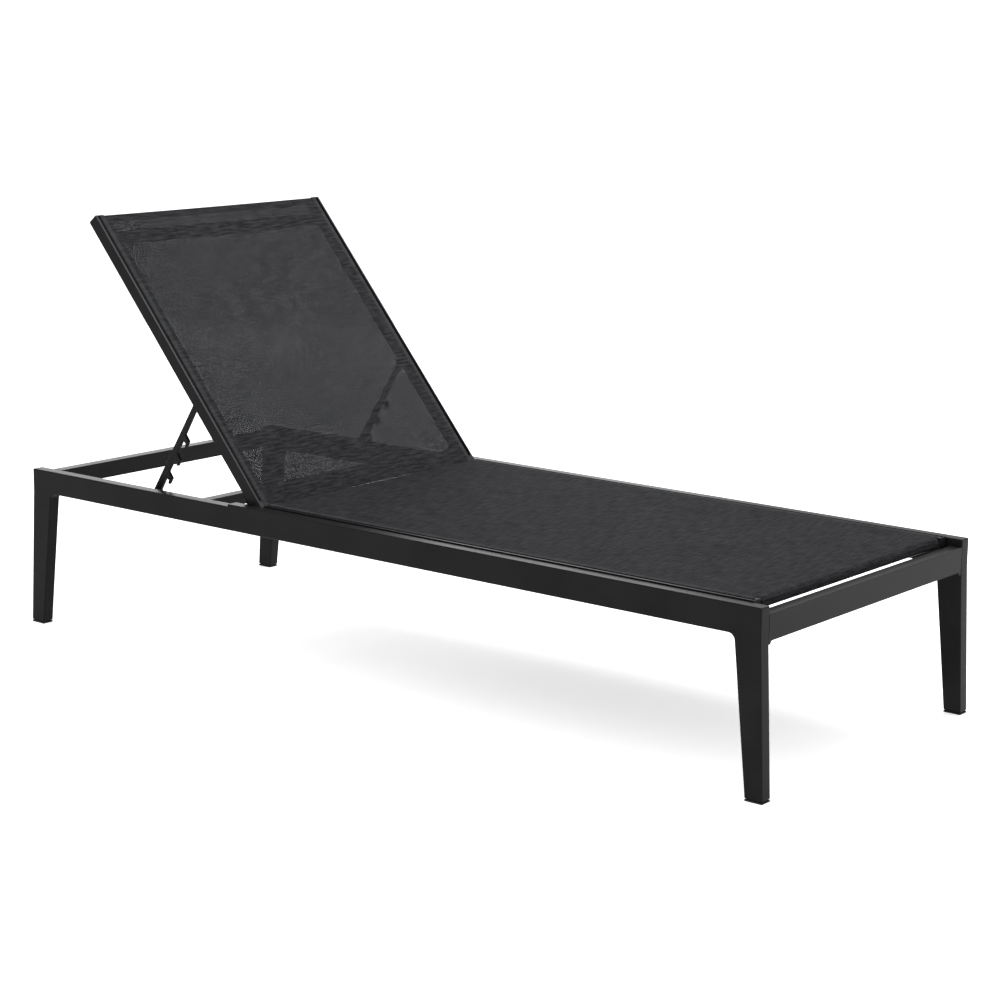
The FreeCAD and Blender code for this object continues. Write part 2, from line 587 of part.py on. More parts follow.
def prop_arm(word, side):
    """A notched prop arm, drawn level from its pivot and then let down to its pin."""
    name = f"prop_arm_{word}"
    blade = [("0", "prop_root"), ("0", "-prop_root"), ("-prop_length", "-prop_tip"),
             ("-prop_length", "prop_tip")]
    roof = "notch_last"
    hook = [(f"-{roof} + hook_root + hook_slope", "0"), (f"-{roof} + hook_root", "-hook_reach"),
            (f"-{roof} - hook_lip", "-hook_reach"), (f"-{roof} - hook_lip", "hook_lip_width - hook_reach"),
            (f"-{roof}", "hook_lip_width + hook_lip_taper - hook_reach"), (f"-{roof}", "0")]
    body = side_plate(name, [blade, hook], [("0", "0", "prop_eye")], "prop_thickness",
                      [("0", "0", "hinge_radius + run_gap")])
    doc.recompute()      # the pattern reads the finished first hook
    hooks = body.newObject("PartDesign::LinearPattern", f"{name}_hooks")
    hooks.Originals = [doc.getObject(f"{name}_pad1")]
    hooks.Direction = (body_plane(body, "X_Axis"), [""])
    bind(hooks, {"Length": "notch_pitch * (notch_count - 1)", "Occurrences": "notch_count"})
    body.Tip = hooks
    body.Placement = FreeCAD.Placement(FreeCAD.Vector(), FreeCAD.Rotation(FreeCAD.Vector(0, -1, 0), 1))
    back_x = f"{HINGE_X} - prop_pivot * cos(recline_angle) - prop_offset * sin(recline_angle)"
    back_z = "hinge_height + prop_pivot * sin(recline_angle) - prop_offset * cos(recline_angle)"
    bind(body, base(back_x, f"{side} * (({PROP_OUTER} + {PROP_INNER}) / 2)", back_z))
    bind(body, {"Placement.Rotation.Angle": "prop_angle"})
    keep(body, name)


# ---------------------------------------------------------------- checks and files

def check_document():
    """Stop if any object failed or any node's shape is not sound."""
    for item in doc.Objects:
        if "Invalid" in item.State or "Error" in item.State:
            raise RuntimeError(f"{item.Name} failed: {item.State}")
    for node in nodes:
        if node.Shape.isNull() or not node.Shape.isValid() or not node.Shape.Solids:
            raise RuntimeError(f"{node.Label} has no sound solid")


def export_nodes():
    """Write each node's shape to its own file."""
    os.makedirs("parts", exist_ok=True)
    for node in nodes:
        node.Shape.exportStep(f"parts/{node.Label}.step")
        extent = node.Shape.BoundBox
        print(f"{node.Label:24s} {len(node.Shape.Solids)} solids {node.Shape.Volume / 1000:8.2f} cm3  "
              f"{extent.XLength:7.1f} {extent.YLength:7.1f} {extent.ZLength:7.1f}")


write_sheet()
base_frame()
seat()
back()
for side_word, side_sign in SIDES.items():
    hinge(side_word, side_sign)
    catch_pin(side_word, side_sign)
    prop_arm(side_word, side_sign)
doc.recompute()
check_document()
export_nodes()
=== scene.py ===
"""Looks of the reclining sun lounger: a black aluminium frame with two charcoal mesh slings.

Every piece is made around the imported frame, in metres. Sizes that the frame holds are read
from it; sizes that only the looks need are fields of the class that makes the piece.
"""
import json
import logging
import math
from contextlib import contextmanager
from dataclasses import dataclass
from enum import Enum
from typing import Callable, Iterable, Iterator, Optional, Sequence, Union

import bpy
from mathutils import Matrix, Vector


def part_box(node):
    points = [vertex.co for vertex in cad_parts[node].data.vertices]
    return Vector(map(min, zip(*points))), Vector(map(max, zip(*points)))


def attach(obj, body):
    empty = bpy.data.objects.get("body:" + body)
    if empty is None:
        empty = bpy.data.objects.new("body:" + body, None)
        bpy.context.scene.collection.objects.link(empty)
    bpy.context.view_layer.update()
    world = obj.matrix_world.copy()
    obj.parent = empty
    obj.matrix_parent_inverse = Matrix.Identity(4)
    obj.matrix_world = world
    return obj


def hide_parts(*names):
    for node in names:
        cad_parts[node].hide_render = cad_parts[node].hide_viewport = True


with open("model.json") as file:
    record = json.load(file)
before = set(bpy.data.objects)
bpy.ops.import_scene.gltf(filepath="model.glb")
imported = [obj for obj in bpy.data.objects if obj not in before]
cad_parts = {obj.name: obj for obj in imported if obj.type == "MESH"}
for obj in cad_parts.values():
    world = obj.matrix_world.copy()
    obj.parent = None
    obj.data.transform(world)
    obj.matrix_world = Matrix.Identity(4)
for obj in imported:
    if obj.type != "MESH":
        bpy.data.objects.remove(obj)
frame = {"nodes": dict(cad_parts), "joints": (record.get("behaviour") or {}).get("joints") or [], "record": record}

LOG = logging.getLogger("sun_lounger")
MM = 0.001
NEAR = MM / 10
Point = Sequence[float]
Test = Callable[[Vector], bool]


class Named(Enum):
    """A choice whose name stands in node names."""

    @property
    def word(self) -> str:
        """The word in node names."""
        return self.name.lower()


class Side(Named):
    """The two long sides, by the sign of Y."""

    LEFT = 1
    RIGHT = -1


class End(Named):
    """The two ends, by the sign of X."""

    HEAD = -1
    FOOT = 1


class Slot(Enum):
    """The record's material slots."""

    FRAME = "black_powder_coat"
    CLOTH = "sling_fabric"
    PLASTIC = "black_plastic"
    STEEL = "blackened_steel"


# ------------------------------------------------------------------ shader writing


class Number:
    """A number socket of a shader, with Python's arithmetic."""

    def __init__(self, shader: "Shader", socket: bpy.types.NodeSocket) -> None:
        """Wrap an output socket of a shader's node."""
        self.shader = shader
        self.socket = socket

    def _math(self, operation: str, *terms: object) -> "Number":
        """Add one Math node.

        Args:
            operation: the node's operation.
            *terms: its inputs in order, numbers or Numbers.

        Returns:
            The node's result.
        """
        node = self.shader.node("ShaderNodeMath", {"operation": operation}, dict(enumerate(terms)))
        return Number(self.shader, node.outputs[0])

    def __add__(self, other: object) -> "Number":
        """Sum."""
        return self._math("ADD", self, other)

    __radd__ = __add__

    def __sub__(self, other: object) -> "Number":
        """Difference."""
        return self._math("SUBTRACT", self, other)

    def __rsub__(self, other: object) -> "Number":
        """Difference from a plain number."""
        return self._math("SUBTRACT", other, self)

    def __mul__(self, other: object) -> "Number":
        """Product."""
        return self._math("MULTIPLY", self, other)

    __rmul__ = __mul__

    def __gt__(self, other: object) -> "Number":
        """One where this is greater, else zero."""
        return self._math("GREATER_THAN", self, other)

    def __lt__(self, other: object) -> "Number":
        """One where this is less, else zero."""
        return self._math("LESS_THAN", self, other)

    def __abs__(self) -> "Number":
        """Size without sign."""
        return self._math("ABSOLUTE", self)

    def sine(self) -> "Number":
        """Sine of an angle in radians."""
        return self._math("SINE", self)

    def ramp(self, start: float, end: float, low: float = 0.0, high: float = 1.0) -> "Number":
        """Map a stretch of values smoothly to another and hold it outside.

        Args:
            start: the value that becomes low.
            end: the value that becomes high.
            low: result at and before start.
            high: result at and past end.

        Returns:
            The mapped value.
        """
        node = self.shader.node("ShaderNodeMapRange", {"interpolation_type": "SMOOTHSTEP"},
                                {0: self, 1: start, 2: end, 3: low, 4: high})
        return Number(self.shader, node.outputs[0])


class Shader:
    """One material's node tree, ending in a Principled shader."""

    def __init__(self, name: str) -> None:
        """Start an empty material with its Principled shader and output.

        Args:
            name: the material's name.
        """
        self.material = bpy.data.materials.new(name)
        self.material.use_nodes = True
        self.tree = self.material.node_tree
        self.tree.nodes.clear()
        self.surface = self.node("ShaderNodeBsdfPrincipled")
        self.node("ShaderNodeOutputMaterial", {}, {"Surface": self.surface.outputs[0]})

    def node(self, kind: str, settings: Optional[dict] = None,
             inputs: Optional[dict] = None) -> bpy.types.Node:
        """Add any node: settings first, then values or links of its sockets.

        Args:
            kind: the node's type name.
            settings: properties such as an operation.
            inputs: socket name or number to a value, a socket or a Number.

        Returns:
            The node.
        """
        node = self.tree.nodes.new(kind)
        for key, value in (settings or {}).items():
            setattr(node, key, value)
        for key, value in (inputs or {}).items():
            self.feed(node.inputs[key], value)
        return node

    def feed(self, socket: bpy.types.NodeSocket, value: object) -> None:
        """Link or set one input socket.

        Args:
            socket: the input.
            value: a Number, a socket to link, or a plain value.
        """
        if isinstance(value, Number):
            value = value.socket
        if isinstance(value, bpy.types.NodeSocket):
            self.tree.links.new(value, socket)
        else:
            socket.default_value = value

    def set(self, **values: object) -> None:
        """Set inputs of the Principled shader, with underscores for spaces in their names."""
        for key, value in values.items():
            self.feed(self.surface.inputs[key.replace("_", " ")], value)

    def place(self) -> bpy.types.NodeSocket:
        """The point in Object coordinates, which are the shared frame's."""
        return self.node("ShaderNodeTexCoord").outputs["Object"]

    def noise(self, scale: Union[float, Point], detail: float = 3.0, roughness: float = 0.55,
              where: Optional[bpy.types.NodeSocket] = None) -> Number:
        """Fractal noise at a scale, or with a scale for each axis.

        Args:
            scale: cycles in a metre, one number or three.
            detail: octaves.
            roughness: how much the octaves keep.
            where: the coordinates, or None for Object coordinates.

        Returns:
            Noise about 0.5.
        """
        point = where or self.place()
        if not isinstance(scale, (int, float)):
            point = self.node("ShaderNodeMapping", {"vector_type": "POINT"},
                              {"Vector": point, "Scale": tuple(scale)}).outputs[0]
            scale = 1.0
        node = self.node("ShaderNodeTexNoise", {},
                         {"Vector": point, "Scale": scale, "Detail": detail, "Roughness": roughness})
        return Number(self, node.outputs[0])

    def blend(self, amount: Number, low: Point, high: Point) -> bpy.types.NodeSocket:
        """A colour between two, by an amount.

        Args:
            amount: zero for low, one for high.
            low: a colour.
            high: a colour.

        Returns:
            The blended colour's socket.
        """
        node = self.node("ShaderNodeMix", {"data_type": "RGBA"},
                         {0: amount, 6: (*low, 1.0), 7: (*high, 1.0)})
        return node.outputs[2]

    def bump(self, height: Number, distance: float, strength: float = 1.0) -> None:
        """Feed the Normal with a height in units of a distance.

        Args:
            height: height over the surface.
            distance: metres for a height of one.
            strength: share of the effect.
        """
        node = self.node("ShaderNodeBump", {},
                         {"Height": height, "Distance": distance, "Strength": strength})
        self.set(Normal=node.outputs[0])


@dataclass(frozen=True)
class PowderCoat:
    """Satin black powder coat on aluminium: orange peel, faint mottling, dulled edges."""

    name: str = "satin_black_powder_coat"
    deep: Point = (0.0062, 0.0062, 0.0064)
    dusty: Point = (0.0115, 0.0115, 0.0119)
    sheen_level: float = 0.06
    peel_pitch: float = 1.3 * MM

    def material(self) -> bpy.types.Material:
        """Build the material.

        Returns:
            The material.
        """
        shader = Shader(self.name)
        cloud = shader.noise(9.0)
        speckle = shader.noise(1.0 / (0.6 * MM), 2.0)
        scuff = shader.noise((3.0, 60.0, 60.0), 4.0).ramp(0.60, 0.78)
        edge = Number(shader, shader.node("ShaderNodeNewGeometry").outputs["Pointiness"]).ramp(0.53, 0.66)
        tone = (cloud.ramp(0.3, 0.7) * 0.45 + speckle.ramp(0.55, 0.75) * 0.2 + edge * 0.5 + scuff * 0.18)
        shader.set(Base_Color=shader.blend(tone, self.deep, self.dusty))
        shader.set(Roughness=0.27 + cloud * 0.10 + scuff * 0.08, Specular_IOR_Level=self.sheen_level)
        peel = shader.noise(1.0 / self.peel_pitch, 1.5)
        shader.bump(peel + cloud * 0.6, 0.05 * MM, 0.55)
        return shader.material


@dataclass(frozen=True)
class MouldedPlastic:
    """Matte black nylon with a fine spark-eroded grain."""

    name: str = "matte_black_nylon"
    deep: Point = (0.0045, 0.0045, 0.0046)
    worn: Point = (0.014, 0.014, 0.014)

    def material(self) -> bpy.types.Material:
        """Build the material.

        Returns:
            The material.
        """
        shader = Shader(self.name)
        grain = shader.noise(1.0 / (0.5 * MM), 2.0)
        cloud = shader.noise(25.0)
        shader.set(Base_Color=shader.blend(cloud.ramp(0.35, 0.8) * 0.5 + grain * 0.2, self.deep, self.worn))
        shader.set(Roughness=0.52 + grain * 0.12, Specular_IOR_Level=0.16)
        shader.bump(grain, 0.04 * MM, 0.6)
        return shader.material


@dataclass(frozen=True)
class BlackenedSteel:
    """Blackened stainless steel with faint turning marks and bright rubbed spots."""

    name: str = "blackened_steel"
    black: Point = (0.014, 0.014, 0.015)
    bright: Point = (0.13, 0.13, 0.135)

    def material(self) -> bpy.types.Material:
        """Build the material.

        Returns:
            The material.
        """
        shader = Shader(self.name)
        rub = shader.noise(160.0, 4.0).ramp(0.62, 0.80)
        turning = shader.noise((900.0, 90.0, 900.0), 2.0)
        shader.set(Base_Color=shader.blend(rub * 0.7, self.black, self.bright), Metallic=0.65 + rub * 0.3)
        shader.set(Roughness=0.34 + turning * 0.14)
        shader.bump(turning, 0.02 * MM, 0.4)
        return shader.material


@dataclass(frozen=True)
class WovenMesh:
    """Coated yarn woven one over one, open enough to see dark shapes through."""

    name: str = "charcoal_woven_mesh"
    yarn_pitch: float = 1.8 * MM
    hole: float = 0.26
    rail_edge: float = 322.5 * MM
    # Dark and light ends of the weave's tone: dark yarn with painted shade, pale yarn with painted highlight.
    shaded: Point = (0.0006, 0.0006, 0.0008)
    lit: Point = (0.0370, 0.0374, 0.0405)

    def material(self) -> bpy.types.Material:
        """Build the material. The piece's UV map is in metres: U across, V along.

        Returns:
            The material.
        """
        shader = Shader(self.name)
        flat = shader.node("ShaderNodeUVMap", {"uv_map": "yarn"}).outputs[0]
        split = shader.node("ShaderNodeSeparateXYZ", {}, {0: flat})
        turns = math.pi / self.yarn_pitch
        warp_wave = (Number(shader, split.outputs[0]) * turns).sine()
        weft_wave = (Number(shader, split.outputs[1]) * turns).sine()
        warp, weft = abs(warp_wave), abs(weft_wave)
        warp_up = (warp_wave * weft_wave) > 0.0
        height = warp_up * (warp * (0.55 + weft * 0.45)) + (1.0 - warp_up) * (weft * (0.55 + warp * 0.45))
        opening = (warp < self.hole) * (weft < self.hole)
        slub = shader.noise((26.0, 210.0, 1.0), 3.0, 0.62, flat).ramp(0.34, 0.68)
        warp_slub = shader.noise((240.0, 18.0, 1.0), 2.0, 0.6, flat).ramp(0.35, 0.75)
        cloud = shader.noise((6.0, 9.0, 1.0), 3.0, 0.6, flat)
        # Painted highlight: the cloth over the rail and turned into the groove is made lighter, for the light that
        # its fold catches.
        painted_fold_highlight = abs(Number(shader, split.outputs[0])).ramp(self.rail_edge, self.rail_edge + 2 * MM)
        # The weave's height paints shade in the valleys between yarns and light on their tops; slub, warp slub and
        # cloud are the yarn's own tone.
        tone = height * 0.28 + slub * 0.48 + warp_slub * 0.14 + cloud * 0.24 + painted_fold_highlight * 0.35
        shader.set(Base_Color=shader.blend(tone, self.shaded, self.lit), Alpha=1.0 - opening)
        shader.set(Roughness=0.84 - height * 0.10 + slub * 0.08, Specular_IOR_Level=0.02)
        shader.bump(height + slub * 0.5, 0.28 * MM, 0.7)
        return shader.material


@dataclass(frozen=True)
class SewingThread:
    """Bonded polyester thread."""

    name: str = "charcoal_thread"
    dark: Point = (0.012, 0.012, 0.013)
    light: Point = (0.045, 0.045, 0.048)

    def material(self) -> bpy.types.Material:
        """Build the material.

        Returns:
            The material.
        """
        shader = Shader(self.name)
        twist = shader.noise(2600.0, 1.0)
        shader.set(Base_Color=shader.blend(twist, self.dark, self.light), Roughness=0.6 + twist * 0.2,
                   Specular_IOR_Level=0.1)
        shader.bump(twist, 0.05 * MM, 0.5)
        return shader.material


@dataclass(frozen=True)
class PaleFloor:
    """A plain pale studio floor with a faint glow of its own."""

    name: str = "pale_floor"
    low: Point = (0.89, 0.89, 0.89)
    high: Point = (0.91, 0.91, 0.91)
    glow: float = 0.48

    def material(self) -> bpy.types.Material:
        """Build the material.

        Returns:
            The material.
        """
        shader = Shader(self.name)
        shader.set(Base_Color=shader.blend(shader.noise(2.0), self.low, self.high), Roughness=0.9,
                   Specular_IOR_Level=0.1, Emission_Color=(1.0, 1.0, 1.0, 1.0), Emission_Strength=self.glow)
        return shader.material


class Finishes:
    """The lounger's materials, each made once."""

    def __init__(self) -> None:
        """Build every finish."""
        self.coat = PowderCoat().material()
        self.plastic = MouldedPlastic().material()
        self.steel = BlackenedSteel().material()
        self.mesh = WovenMesh().material()
        self.thread = SewingThread().material()
        self.floor = PaleFloor().material()
        self.by_slot = {Slot.FRAME: self.coat, Slot.PLASTIC: self.plastic,
                        Slot.STEEL: self.steel, Slot.CLOTH: self.mesh}


# ------------------------------------------------------------------ modelling by hand


def middle(node: str) -> Vector:
    """The centre of a CAD node's box."""
    low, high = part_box(node)
    return (low + high) / 2


def choose(*pieces: bpy.types.Object) -> None:
    """Select only these pieces and make the first one active.

    Args:
        *pieces: the pieces, or none to deselect everything.
    """
    bpy.ops.object.select_all(action="DESELECT")
    for piece in pieces:
        piece.select_set(True)
    if pieces:
        bpy.context.view_layer.objects.active = pieces[0]


@contextmanager
def editing(piece: bpy.types.Object, mode: str = "FACE") -> Iterator[None]:
    """Enter edit mode on one piece and leave it again.

    Args:
        piece: the piece.
        mode: what is selected, VERT, EDGE or FACE.

    Yields:
        Nothing, inside edit mode.
    """
    choose(piece)
    bpy.context.tool_settings.mesh_select_mode = (mode == "VERT", mode == "EDGE", mode == "FACE")
    bpy.ops.object.mode_set(mode="EDIT")
    yield
    bpy.ops.object.mode_set(mode="OBJECT")


class Bench:
    """Modelling steps that the pieces share."""

    @staticmethod
    def block(name: str, low: Point, high: Point) -> bpy.types.Object:
        """Add a block between two corners, with its place in its mesh.

        Args:
            name: the piece's name.
            low: the low corner.
            high: the high corner.

        Returns:
            The block.
        """
        choose()
        size = Vector(high) - Vector(low)
        bpy.ops.mesh.primitive_cube_add(size=1.0, location=(Vector(low) + Vector(high)) / 2, scale=size)
        return Bench.name_piece(name)

    @staticmethod
    def disc(name: str, centre: Point, radius: float, depth: float, direction: Point,
             corners: int = 40) -> bpy.types.Object:
        """Add a short cylinder along a direction, from a centre.

        Args:
            name: the piece's name.
            centre: the middle of the cylinder.
            radius: its radius.
            depth: its length.
            direction: its axis.
            corners: how many sides it has.

        Returns:
            The cylinder.
        """
        choose()
        turn = Vector(direction).to_track_quat("Z", "Y").to_euler()
        bpy.ops.mesh.primitive_cylinder_add(vertices=corners, radius=radius, depth=depth,
                                            location=centre, rotation=turn)
        return Bench.name_piece(name)

    @staticmethod
    def cloth(name: str, low: Point, high: Point, cells: tuple[int, int]) -> bpy.types.Object:
        """Add a flat grid between two corners in the plane of X and Y.

        Args:
            name: the piece's name.
            low: the low corner, (x, y).
            high: the high corner, (x, y).
            cells: how many cells along X and along Y.

        Returns:
            The grid.
        """
        choose()
        bpy.ops.mesh.primitive_grid_add(x_subdivisions=cells[0], y_subdivisions=cells[1], size=1.0,
                                        location=((low[0] + high[0]) / 2, (low[1] + high[1]) / 2, 0))
        bpy.context.active_object.scale = (high[0] - low[0], high[1] - low[1], 1)
        return Bench.name_piece(name)

    @staticmethod
    def plate(name: str, outline: Sequence[tuple[float, float]], low_y: float,
              high_y: float) -> bpy.types.Object:
        """Cut a plate: an n-gon set to an outline in side view and extruded across.

        Args:
            name: the piece's name.
            outline: corners as (x, z), in order.
            low_y: where the plate starts across the lounger.
            high_y: where it ends.

        Returns:
            The plate.
        """
        choose()
        bpy.ops.mesh.primitive_circle_add(vertices=len(outline), radius=1.0, fill_type="NGON")
        piece = Bench.name_piece(name)
        for vertex, (x, z) in zip(piece.data.vertices, outline):
            vertex.co = (x, low_y, z)
        with editing(piece):
            bpy.ops.mesh.select_all(action="SELECT")
            bpy.ops.mesh.extrude_region_move(TRANSFORM_OT_translate={"value": (0, high_y - low_y, 0)})
            bpy.ops.mesh.select_all(action="SELECT")
            bpy.ops.mesh.normals_make_consistent(inside=False)
        return piece

    @staticmethod
    def name_piece(name: str) -> bpy.types.Object:
        """Name the newest primitive and bring its place into its mesh.

        Args:
            name: the piece's name.

        Returns:
            The piece.
        """
        piece = bpy.context.active_object
        piece.name = name
        piece.data.name = name
        bpy.ops.object.transform_apply(location=True, rotation=True, scale=True)
        return piece

    @staticmethod
    def pick(piece: bpy.types.Object, kind: str, test: Test) -> None:
        """Select the edges whose both ends, or the faces whose centre, pass a test.

        Args:
            piece: a mesh in object mode.
            kind: EDGE or FACE.
            test: for a face it gets the centre, for an edge each end.
        """
        mesh = piece.data
        mesh.vertices.foreach_set("select", [False] * len(mesh.vertices))
        mesh.edges.foreach_set("select", [False] * len(mesh.edges))
        mesh.polygons.foreach_set("select", [False] * len(mesh.polygons))
        if kind == "FACE":
            for face in mesh.polygons:
                face.select = test(face.center)
        else:
            for edge in mesh.edges:
                edge.select = all(test(mesh.vertices[index].co) for index in edge.vertices)

    @staticmethod
    def split(piece: bpy.types.Object, point: Point, normal: Point) -> None:
        """Cut new edges round a piece along a plane.

        Args:
            piece: the piece.
            point: a point of the plane.
            normal: the plane's normal.
        """
        with editing(piece):
            bpy.ops.mesh.select_all(action="SELECT")
            bpy.ops.mesh.bisect(plane_co=point, plane_no=normal)

    @staticmethod
    def extrude(piece: bpy.types.Object, test: Test, move: Point) -> None:
        """Extrude the faces whose centres pass a test.

        Args:
            piece: the piece.
            test: passes the chosen faces' centres.
            move: how far the faces go.
        """
        Bench.pick(piece, "FACE", test)
        with editing(piece):
            bpy.ops.mesh.extrude_region_move(TRANSFORM_OT_translate={"value": tuple(move)})

    @staticmethod
    def round_edges(piece: bpy.types.Object, test: Test, radius: float, segments: int) -> None:
        """Bevel the edges whose ends pass a test.

        Args:
            piece: the piece.
            test: passes both ends of the chosen edges.
            radius: the bevel's width.
            segments: steps round it.
        """
        Bench.pick(piece, "EDGE", test)
        with editing(piece, "EDGE"):
            bpy.ops.mesh.bevel(offset=radius, segments=segments, affect="EDGES", clamp_overlap=True)

    @staticmethod
    def soften(piece: bpy.types.Object, radius: float, segments: int = 3, angle: float = 32.0) -> None:
        """Round every edge sharper than an angle, by an applied Bevel.

        Args:
            piece: the piece.
            radius: the bevel's width.
            segments: steps round it.
            angle: degrees past which an edge is sharp.
        """
        modifier = piece.modifiers.new("rounded", "BEVEL")
        modifier.width = radius
        modifier.segments = segments
        modifier.limit_method = "ANGLE"
        modifier.angle_limit = math.radians(angle)
        Bench.apply(piece)

    @staticmethod
    def apply(piece: bpy.types.Object) -> None:
        """Apply a piece's modifiers in order.

        Args:
            piece: the piece.
        """
        choose(piece)
        for modifier in list(piece.modifiers):
            bpy.ops.object.modifier_apply(modifier=modifier.name)

    @staticmethod
    def join(name: str, pieces: Sequence[bpy.types.Object]) -> bpy.types.Object:
        """Join several meshes into one piece.

        Args:
            name: the joined piece's name.
            pieces: what is joined.

        Returns:
            The joined piece.
        """
        choose(*pieces)
        bpy.ops.object.join()
        pieces[0].name = name
        pieces[0].data.name = name
        return pieces[0]

    @staticmethod
    def finish(piece: bpy.types.Object, body: str, slot: Slot, material: bpy.types.Material,
               replaces: Iterable[str] = (), pose: Optional[Matrix] = None) -> bpy.types.Object:
        """Shade, dress and hang a piece on its body.

        Args:
            piece: the modelled piece.
            body: the CAD body that it rides on.
            slot: the record's slot; not used.
            material: its finish.
            replaces: CAD nodes that it stands for.
            pose: where a piece drawn in a sling's own frame goes.

        Returns:
            The piece.
        """
        if pose is not None:
            piece.matrix_world = pose
        choose(piece)
        bpy.ops.object.transform_apply(location=True, rotation=True, scale=True)
        bpy.ops.object.shade_smooth_by_angle(angle=math.radians(40))
        weighted = piece.modifiers.new("even_shading", "WEIGHTED_NORMAL")
        weighted.keep_sharp = True
        Bench.apply(piece)
        piece.data.materials.clear()
        piece.data.materials.append(material)
        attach(piece, body)
        if replaces:
            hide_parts(*replaces)
        LOG.info("%s: %d faces on %s", piece.name, len(piece.data.polygons), body)
        return piece


# ------------------------------------------------------------------ base frame


@dataclass
class SideFrame:
    """A side rail and its two legs, welded and ground into one."""

    side: Side
    coat: bpy.types.Material
    leg_foot: float = 38 * MM
    leg_top: float = 56 * MM
    leg_splay: float = 15 * MM
    corner_radius: float = 12.5 * MM
    edge_radius: float = 2.2 * MM

    def outline(self) -> list[tuple[float, float]]:
        """The frame's corners in side view, from the head leg's foot round to the rail's underside.

        Returns:
            Corners as (x, z), in order.
        """
        word = self.side.word
        rail_low, rail_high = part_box(f"side_rail_{word}")
        leg_low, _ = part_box(f"leg_foot_{word}")
        step_x, head_top = self.step()
        half, under, sole = rail_high.x, rail_low.z, leg_low.z
        return [(-half - self.leg_splay, sole), (-half, under), (-half, head_top), (step_x, head_top),
                (step_x, rail_high.z), (half, rail_high.z), (half, under), (half + self.leg_splay, sole),
                (half + self.leg_splay - self.leg_foot, sole), (half - self.leg_top, under),
                (self.leg_top - half, under), (self.leg_foot - half - self.leg_splay, sole)]

    def step(self) -> tuple[float, float]:
        """Where the rail steps up, and its top before the step, from the CAD rail's own corners.

        Returns:
            The step's X and the top's Z before it.
        """
        rail = frame["nodes"][f"side_rail_{self.side.word}"].data
        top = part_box(f"side_rail_{self.side.word}")[1].z
        upper = [vertex.co.x for vertex in rail.vertices if vertex.co.z > top - MM]
        outer = [vertex.co.z for vertex in rail.vertices if vertex.co.x < min(upper) - MM]
        return min(upper), max(outer)

    def build(self) -> bpy.types.Object:
        """Model the frame and hang it on the base.

        Returns:
            The piece.
        """
        word = self.side.word
        low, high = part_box(f"side_rail_{word}")
        piece = Bench.plate(f"side_frame_{word}", self.outline(), low.y, high.y)
        inner_corner = high.x - self.leg_top
        for end in End:
            Bench.round_edges(piece, lambda at: abs(end.value * at.x - inner_corner) < MM
                              and abs(at.z - low.z) < MM, self.corner_radius, 8)
        Bench.soften(piece, self.edge_radius, 4)
        nodes = [f"side_rail_{word}", f"leg_head_{word}", f"leg_foot_{word}"]
        return Bench.finish(piece, "base", Slot.FRAME, self.coat, nodes)


@dataclass
class CrossRail:
    """A cross tube welded between the side rails, with a small web in each lower corner."""

    node: str
    coat: bpy.types.Material
    web: float = 6 * MM
    edge_radius: float = 2.0 * MM

    def build(self) -> bpy.types.Object:
        """Model the tube and hang it on the base.

        Returns:
            The piece.
        """
        low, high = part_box(self.node)
        piece = Bench.block(f"{self.node}_tube", low, high)
        inner = high.y - self.web
        for side in Side:
            Bench.split(piece, (0, side.value * inner, 0), (0, 1, 0))
        Bench.extrude(piece, lambda at: abs(at.z - low.z) < NEAR and abs(at.y) > inner, (0, 0, -self.web))
        for side in Side:
            Bench.round_edges(piece, lambda at: abs(at.z - low.z) < NEAR
                              and abs(side.value * at.y - inner) < NEAR, self.web * 0.95, 6)
        Bench.soften(piece, self.edge_radius, 3)
        return Bench.finish(piece, "base", Slot.FRAME, self.coat, [self.node])


@dataclass
class Glide:
    """A leg's plastic glide: a bevelled plate with a shadow line under the leg."""

    side: Side
    end: End
    plastic: bpy.types.Material
    thickness: float = 5 * MM
    neck: float = 1.2 * MM
    neck_inset: float = 0.8 * MM
    edge_radius: float = 1.5 * MM

    def build(self) -> bpy.types.Object:
        """Model the glide and hang it on the base.

        Returns:
            The piece.
        """
        node = f"glide_{self.end.word}_{self.side.word}"
        low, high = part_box(node)
        top = low.z + self.thickness
        piece = Bench.block(f"{node}_foot", low, (high.x, high.y, top - self.neck))
        Bench.soften(piece, self.edge_radius, 3)
        Bench.pick(piece, "FACE", lambda at: at.z > top - self.neck - NEAR)
        with editing(piece):
            bpy.ops.mesh.inset(thickness=self.neck_inset)
            bpy.ops.mesh.extrude_region_move(TRANSFORM_OT_translate={"value": (0, 0, self.neck)})
        return Bench.finish(piece, "base", Slot.PLASTIC, self.plastic, [node])


# ------------------------------------------------------------------ slings


@dataclass(frozen=True)
class SlingPlace:
    """A sling's own frame: X along it, Z out of its face, its origin on the hinge axis."""

    prefix: str
    body: str
    pose: Matrix
    start: float
    end: float
    cloth_start: float
    cloth_end: float
    plate_ends: tuple[str, ...]
    bars: tuple[str, ...]
    wrap: tuple[tuple[float, float], ...] = ()

    @property
    def flat_end(self) -> float:
        """Where the cloth starts to turn down over its last bar."""
        return self.cloth_end - sum(step for step, _ in self.wrap)

    @property
    def flat_length(self) -> float:
        """The cloth's length laid flat."""
        return self.flat_end - self.cloth_start + sum(math.hypot(*step) for step in self.wrap)


